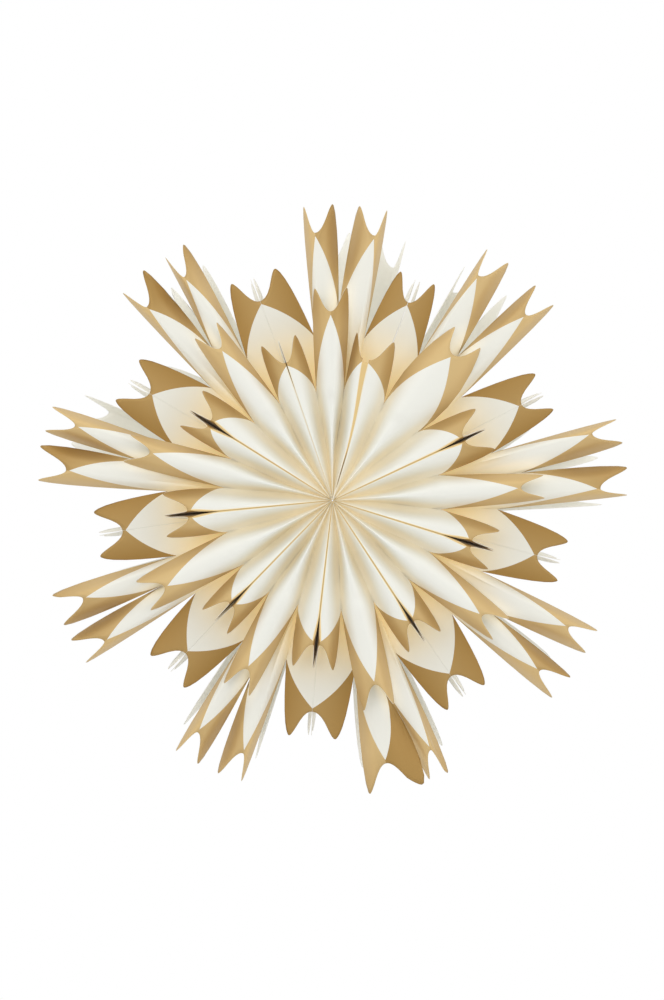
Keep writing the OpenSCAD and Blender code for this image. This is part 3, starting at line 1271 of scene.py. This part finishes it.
@dataclass
class PetalRing(StripRing):
    """The petals: creased gussets with their tall twin lobes, on the front and the rear."""

    side_panel: Panel = Panel(
        ridge_at=0.0, valley_at=0.57, notch=0.72 * REACH, foot=0.56 * REACH, rise=SIDE_RISE,
        depth=WALL_HALF_W, tip_share=0.995, lift=0.85, tip_in=19.0,
    )
    twin_outer: Panel = Panel(
        ridge_at=0.71, valley_at=0.57, notch=0.9 * REACH, foot=0.56 * REACH, rise=TIP_RISE,
        depth=WALL_HALF_W, swell=18.0, tip_share=0.48, lift=0.85,
    )
    twin_inner: Panel = Panel(
        ridge_at=0.71, valley_at=1.0, notch=0.9 * REACH, foot=0.638 * REACH, rise=TIP_RISE,
        depth=WALL_HALF_W, swell=18.0, tip_share=0.8, lift=0.85, fade=90.0,
    )
    # For each petal, how far its left outer valley, left twin ridge, middle valley, right twin ridge and
    # right outer valley stand clockwise, on the front; then how much further the rear ones stand.
    turns: tuple[tuple[float, float, float, float, float], ...] = (
        (-2.1, -3.1, -1.2, -2.1, 0.0), (-1.6, -2.4, -2.4, -2.7, -0.1), (-1.2, -1.3, -0.3, -2.0, -0.8),
        (0.3, -1.5, -0.7, -3.0, -2.3), (-0.2, 0.4, 0.3, -0.1, -0.6), (1.3, 1.0, 0.6, 0.2, -0.6),
        (0.5, 1.0, 0.4, -0.5, -0.8), (1.3, 1.8, 1.3, 0.5, 0.0), (2.0, 1.6, 1.2, 2.4, 1.5),
    )
    rear_turns: tuple[tuple[float, float, float, float, float], ...] = (
        (-1.8, -3.0, -3.0, -3.0, -1.0), (2.6, 2.2, 2.0, 2.2, 1.2), (0.0, -0.8, -0.8, -0.8, 0.0),
        (-1.2, -0.4, 0.0, 1.8, 0.8), (-0.8, -1.9, 0.0, 1.7, 1.5), (0.0, 0.0, 0.0, 0.0, 0.0),
        (0.0, 1.3, 2.0, 5.3, 4.5), (3.4, 3.5, 2.0, 1.3, 1.5), (0.0, 3.6, 3.6, 5.6, 5.0),
    )
    # How far the panels of each petal's twin lobes open: left outer, left inner, right inner, right outer.
    lobes: tuple[tuple[float, float, float, float], ...] = (
        (0.95, 0.73, 0.9, 0.63), (0.98, 0.85, 1.1, 0.35), (1.0, 0.64, 1.09, 0.8), (1.5, 0.55, 2.3, 1.58),
        (0.59, 0.9, 0.9, 1.05), (0.86, 1.05, 1.0, 1.6), (0.98, 1.24, 0.82, 1.2), (0.59, 1.3, 0.3, 1.77),
        (1.0, 1.1, 0.85, 1.1),
    )
    closing_lean: float = -0.6
    clear: float = 0.1

    def strip(self, petal: int, face: Face) -> Strip:
        """Fold one gusset.

        Args:
            petal: the petal's number.
            face: its face of the star.

        Returns:
            The gusset's strip.
        """
        folds = (
            Fold(self.side_panel, self.twin_outer, True),
            Fold(self.twin_outer, self.twin_outer, False),
            Fold(self.twin_inner, self.twin_inner, True),
        )
        turns = np.array(self.turns[petal - 1])
        if face is Face.REAR:
            turns = turns + np.array(self.rear_turns[petal - 1])
        left_outer, left_inner, right_inner, right_outer = self.lobes[petal - 1]
        first, settled = self.closing_lean if petal == 1 else 0.0, self.side_panel.foot
        left = Habit((first, *turns[:3]), settled=settled, lobes=(1.0, left_outer, left_inner))
        right = Habit((0.0, *turns[:1:-1]), settled=settled, lobes=(1.0, right_outer, right_inner))
        return Strip(self.ring, petal, face, folds, self.clear, left, right)

    def build(self) -> None:
        """Make all front and rear gussets."""
        self.make_all("gusset")


@dataclass
class RosetteRing(StripRing):
    """The rosettes: shorter creased strips that stand on the petals, on the front and the rear."""

    foot_panel: Panel = Panel(
        ridge_at=0.0, valley_at=0.0, notch=0.482 * REACH, foot=0.364 * REACH, rise=ROSETTE_RISE,
        depth=ROSETTE_D,
    )
    end_foot: Panel = Panel(
        ridge_at=0.0, valley_at=0.0, notch=0.482 * REACH, foot=0.364 * REACH, rise=1.0, depth=ROSETTE_D,
    )
    outer: Panel = Panel(
        ridge_at=0.0, valley_at=0.56, notch=0.482 * REACH, foot=0.364 * REACH, rise=ROSETTE_RISE,
        depth=ROSETTE_D, tip_share=0.76, arch=0.95, lift=0.4, lift_from=48.0, at_heart=0.04,
    )
    inner: Panel = Panel(
        ridge_at=1.0, valley_at=0.56, notch=0.626 * REACH, foot=0.364 * REACH, rise=ROSETTE_RISE,
        depth=ROSETTE_D, swell=3.0, tip_share=0.63, arch=0.5, lift=0.4, lift_from=48.0, at_heart=0.04,
    )
    # For each petal, how far its left valley, middle ridge and right valley stand clockwise.
    turns: tuple[tuple[float, float, float], ...] = (
        (-5.0, -2.7, -0.2), (1.6, 2.1, 1.4), (1.4, 2.1, 1.5), (0.8, 1.3, 1.1), (2.0, 2.2, 1.6),
        (-0.3, -0.2, 2.1), (4.1, 3.6, 2.8), (3.3, 3.4, 2.6), (-0.1, -1.2, -3.7),
    )
    # How far the feet between two petals stand clockwise, and how far they open at their notch.
    seams: tuple[tuple[float, float], ...] = (
        (1.8, 2.4), (2.2, 3.4), (0.8, 2.2), (0.9, 3.0), (0.3, 2.3), (2.8, 3.2), (1.8, 3.4), (1.2, 0.4),
    )
    # The two feet at the closure: how far each stands clockwise, how far both open at their notch, and
    # the share of their lean that they have near the centre; then the shelf on the last petal's foot.
    closing_first: tuple[float, float, float] = (-6.9, 0.4, 0.6)
    closing_last: tuple[float, float, float] = (-8.9, 0.4, 0.6)
    closing_shelf: float = 1.9
    tuck: float = 3.0
    first_belly: tuple[float, float] = (0.155, 0.2)
    # How far each petal's lobes open: left half lobe, middle lobe's left and right, right half lobe.
    lobes: tuple[tuple[float, float, float, float], ...] = (
        (0.94, 0.82, 0.87, 0.96), (1.15, 0.7, 0.83, 0.93), (1.03, 0.87, 0.87, 1.0), (0.97, 0.88, 1.12, 0.98),
        (0.94, 0.9, 1.0, 0.99), (0.92, 0.9, 0.93, 0.95), (1.0, 1.05, 0.9, 0.96), (1.05, 0.95, 0.9, 1.08),
        (1.05, 1.18, 1.5, 1.12),
    )
    clear: float = PAPER / 2 + 0.1

    def habits(self, petal: int) -> tuple[Habit, Habit]:
        """Say how the two halves of a petal's strip stand.

        Args:
            petal: the petal's number.

        Returns:
            The habits of the left and the right half.
        """
        left_valley, ridge, right_valley = self.turns[petal - 1]
        left_half, middle_left, middle_right, right_half = self.lobes[petal - 1]
        belly = self.first_belly if petal == 1 else (0.0, 0.0)
        lean, splay, inner = self.closing_first if petal == 1 else (*self.seams[petal - 2], 1.0)
        left = Habit(
            (lean, left_valley, ridge), inner=inner, tuck=self.tuck, splay=splay,
            lobes=(1.0, left_half, middle_left), belly=belly[0],
        )
        last = petal == self.ring.petals
        lean, splay, inner = self.closing_last if last else (*self.seams[petal - 1], 1.0)
        right = Habit(
            (lean, right_valley, ridge), inner=inner, tuck=-self.tuck, splay=splay,
            shelf=self.closing_shelf if last else 0.0, lobes=(1.0, right_half, middle_right), belly=belly[1],
        )
        return left, right

    def strip(self, petal: int, face: Face) -> Strip:
        """Fold one rosette strip.

        Args:
            petal: the petal's number.
            face: its face of the star.

        Returns:
            The rosette's strip.
        """
        folds = (
            Fold(self.foot_panel, self.foot_panel, False),
            Fold(self.outer, self.outer, True),
            Fold(self.inner, self.outer, False),
        )
        return Strip(self.ring, petal, face, folds, self.clear, *self.habits(petal), end_foot=self.end_foot)

    def build(self) -> None:
        """Make all front and rear rosette strips."""
        self.make_all("rosette")


@dataclass
class WallRing:
    """The side walls, glued back to back in pairs, with their tips sprung apart, and the closure's dots."""

    ring: Ring
    finishes: Finishes
    edge_by: Panel
    steps: tuple[float, ...] = (
        0.0, 0.06, 0.14, 0.24, 0.36, 0.47, 0.55, 0.59, 0.64, 0.72, 0.81, 0.9, 0.97, 1.0,
    )
    rows: int = 16
    # How far each wall's tips spring off its joint, and how far they twist.
    splay: tuple[float, ...] = (1.8, 2.6, 2.4, 2.6, 2.2, 3.0, 2.4, 2.8, 2.4, 2.0)
    twist: tuple[float, ...] = (2.0, 2.4, 2.2, 2.6, 2.0, 2.4, 2.4, 2.4, 2.2, 2.6)
    sprung_from: float = 165.0
    sprung_by: float = 60.0
    # Half the glue between two sheets.
    glue: float = 0.02

    def outline(self) -> tuple[Array, Array]:
        """Draw the wall's outline: on each side of its middle, two panels that meet in a valley.

        Returns:
            The places across the wall, and the radius of its cut edge at each of them.
        """
        out = np.array(self.steps)
        across = np.concatenate([out, 2.0 - out[-2::-1]])
        edge = np.concatenate([self.edge_by.edge(out), self.edge_by.edge(out)[-2::-1]])
        return np.concatenate([-across[:0:-1], across]) * PANEL_W, np.concatenate([edge[:0:-1], edge])

    def aside(self, k: int, side: float, across: Array, r: Array) -> Array:
        """Find how far a wall's paper stands from the plane of its joint.

        Args:
            k: the leaf's number.
            side: 1 for its clockwise sheet and -1 for the other.
            across: places across the wall, shape (places, 1).
            r: radii, shape (places, rows); the first is on the back fold.

        Returns:
            The distances, shape (places, rows).
        """
        inward = np.abs(across)
        free = Ramp(PANEL_W, PANEL_W).down(inward)
        sprung = free * np.square(np.clip((r - self.sprung_from) / self.sprung_by, 0.0, 1.0))
        # From a tip to the valley beside it the twist goes through a quarter of a wave.
        wave = math.pi * (inward - TIP_INSET) / (2.0 * (PANEL_W - TIP_INSET))
        twist = self.twist[k] * side * np.sin(wave)
        apart = SEAM_GAP / 2 if self.ring.closes(k) else self.glue
        found = PAPER / 2 + apart + sprung * np.maximum(0.0, self.splay[k] + twist)
        found[:, 0] = SPINE_SIDE
        return found

    def wall(self, k: int, side: float, node: str) -> None:
        """Make the sheet on one side of leaf k, with its narrow back fold at the centre.

        Args:
            k: the leaf's number.
            side: 1 for the clockwise sheet and -1 for the other.
            node: the CAD node that it stands for.
        """
        across, edge = self.outline()
        across = across[:, None]
        neighbour = k + 1 if side > 0 else k
        foot = SPINE_SIDE / math.tan(math.radians(self.ring.half(neighbour)))
        r = mix(foot, edge[:, None], np.concatenate([[0.0], np.linspace(0.0, 1.0, self.rows)]))
        aside = self.aside(k, side, across, r)
        a = math.radians(self.ring.wall(k))
        outward = np.array([math.sin(a), 0.0, math.cos(a)])
        clockwise = np.array([math.cos(a), 0.0, -math.sin(a)])
        depth = np.broadcast_to(across, r.shape)
        points = r[..., None] * outward + side * aside[..., None] * clockwise
        points = points - depth[..., None] * np.array([0, 1, 0])
        hole = None
        if self.ring.closes(k):
            middle = len(r) // 2
            level = side * np.interp(HOLE_AT, r[middle, 1:], aside[middle, 1:])
            hole = Hole(Vector(HOLE_AT * outward + level * clockwise) * MM, Vector(clockwise), HOLE_R * MM)
        grid = Grid(points, np.stack([depth, r], axis=-1) * MM, {})
        piece = Sheet(node + "_paper", grid, side > 0, hole).build()
        f = self.finishes
        thicken(piece, (f.inside, f.inside, f.rim))
        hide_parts(node)
        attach(piece, f"leaf_{k}")
        LOG.info("made %s", node)

    def dress(self, node: str, material: bpy.types.Material) -> None:
        """Give a CAD node that stays its finish."""
        for slot in bpy.context.scene.objects[node].material_slots:
            slot.material = material
        LOG.info("dressed %s", node)

    def build(self) -> None:
        """Make the sixteen glued walls and the two closing ones, and dress the dots between these."""
        for k in range(self.ring.petals):
            self.wall(k, 1.0, f"petal_{k + 1}_left_wall")
            self.wall(k + 1, -1.0, f"petal_{k + 1}_right_wall")
        self.dress("hook_dots", self.finishes.hooks)
        self.dress("loop_dots", self.finishes.loops)


@dataclass(frozen=True)
class Lamp:
    """A square soft light that points at the star; lengths in metres and power in watts."""

    name: str
    place: tuple[float, float, float]
    size: float
    watts: float

    def build(self) -> None:
        """Set the lamp."""
        data = bpy.data.lights.new(self.name, "AREA")
        data.size, data.energy = self.size, self.watts
        lamp = bpy.data.objects.new(self.name, data)
        lamp.location = self.place
        lamp.rotation_euler = (-lamp.location).to_track_quat("-Z", "Y").to_euler()
        bpy.context.scene.collection.objects.link(lamp)


@dataclass(frozen=True)
class Studio:
    """Camera, lamps, world and floor; lengths in metres."""

    camera_back: float = 1.65
    lens: float = 55.8
    sensor: float = 36.0
    shift: tuple[float, float] = (-0.0005, 0.0005)
    lamps: tuple[Lamp, ...] = (
        Lamp("key_softbox", (-0.8, -2.3, 0.8), 1.4, 9.0),
        Lamp("fill_softbox", (1.5, -1.7, 0.3), 1.4, 5.0),
        Lamp("top_softbox", (-0.3, -0.6, 2.0), 1.6, 4.0),
    )
    # The world's strength straight in front of the star and behind it, its strength from the sides, and how
    # far a direction has turned from the side to the centre line where the first is reached.
    front: float = 0.68
    round_about: float = 1.3
    from_side: float = 0.8
    world_colour: Colour = (1.0, 0.99, 0.97, 1.0)
    white: Colour = (1.0, 1.0, 1.0, 1.0)
    floor_down: float = 0.9
    floor_radius: float = 1.0
    floor_roughness: float = 0.9
    floor_colour: Colour = (0.86, 0.86, 0.86, 1.0)

    def build(self) -> None:
        """Set the whole studio."""
        self.camera()
        for lamp in self.lamps:
            lamp.build()
        self.world()
        self.floor()
        bpy.context.scene.view_settings.view_transform = "Standard"

    def camera(self) -> None:
        """Set the camera on the star's centre line."""
        data = bpy.data.cameras.new("camera")
        data.lens = self.lens
        data.sensor_width = self.sensor
        data.shift_x, data.shift_y = self.shift
        camera = bpy.data.objects.new("camera", data)
        camera.location = (0.0, -self.camera_back, 0.0)
        camera.rotation_euler = (math.pi / 2, 0.0, 0.0)
        bpy.context.scene.collection.objects.link(camera)
        bpy.context.scene.camera = camera

    def world(self) -> None:
        """Light the star from all round, most from its sides; the camera sees the world as plain white."""
        world = bpy.data.worlds.new("studio")
        bpy.context.scene.world = world
        world.use_nodes = True
        n = Nodes(world.node_tree)
        shade = n.node("ShaderNodeBackground", Color=self.world_colour)
        white = n.node("ShaderNodeBackground", Color=self.white)
        place, part = n.node("ShaderNodeTexCoord"), n.node("ShaderNodeSeparateXYZ")
        n.join(place.outputs["Generated"], part.inputs[0])
        span = n.node(
            "ShaderNodeMapRange", interpolation_type="SMOOTHSTEP",
            From_Max=self.from_side, To_Min=self.round_about, To_Max=self.front,
        )
        n.join(n.sum("ABSOLUTE", part.outputs[1]), span.inputs["Value"])
        n.join(span.outputs[0], shade.inputs["Strength"])
        path, mixer = n.node("ShaderNodeLightPath"), n.node("ShaderNodeMixShader")
        n.join(path.outputs["Is Camera Ray"], mixer.inputs[0])
        n.join(shade.outputs[0], mixer.inputs[1])
        n.join(white.outputs[0], mixer.inputs[2])
        n.join(mixer.outputs[0], n.node("ShaderNodeOutputWorld").inputs[0])

    def floor(self) -> None:
        """Lay a plain pale floor below the hanging star."""
        bm = bmesh.new()
        bmesh.ops.create_circle(bm, cap_ends=True, segments=96, radius=self.floor_radius)
        bmesh.ops.translate(bm, verts=bm.verts, vec=(0.0, 0.0, -self.floor_down))
        mesh = bpy.data.meshes.new("floor")
        bm.to_mesh(mesh)
        bm.free()
        floor = bpy.data.objects.new("floor", mesh)
        bpy.context.scene.collection.objects.link(floor)
        paint = Shader("floor", Roughness=self.floor_roughness, Base_Color=self.floor_colour)
        floor.data.materials.append(paint.material)
        LOG.info("set the floor")


def main() -> None:
    """Build the star's visible pieces in order, then the studio."""
    ring, finishes = Ring(), Finishes()
    petals = PetalRing(ring, finishes)
    petals.build()
    RosetteRing(ring, finishes).build()
    WallRing(ring, finishes, petals.side_panel).build()
    Studio().build()


if __name__ == "__main__":
    logging.basicConfig(level=logging.INFO)
    main()
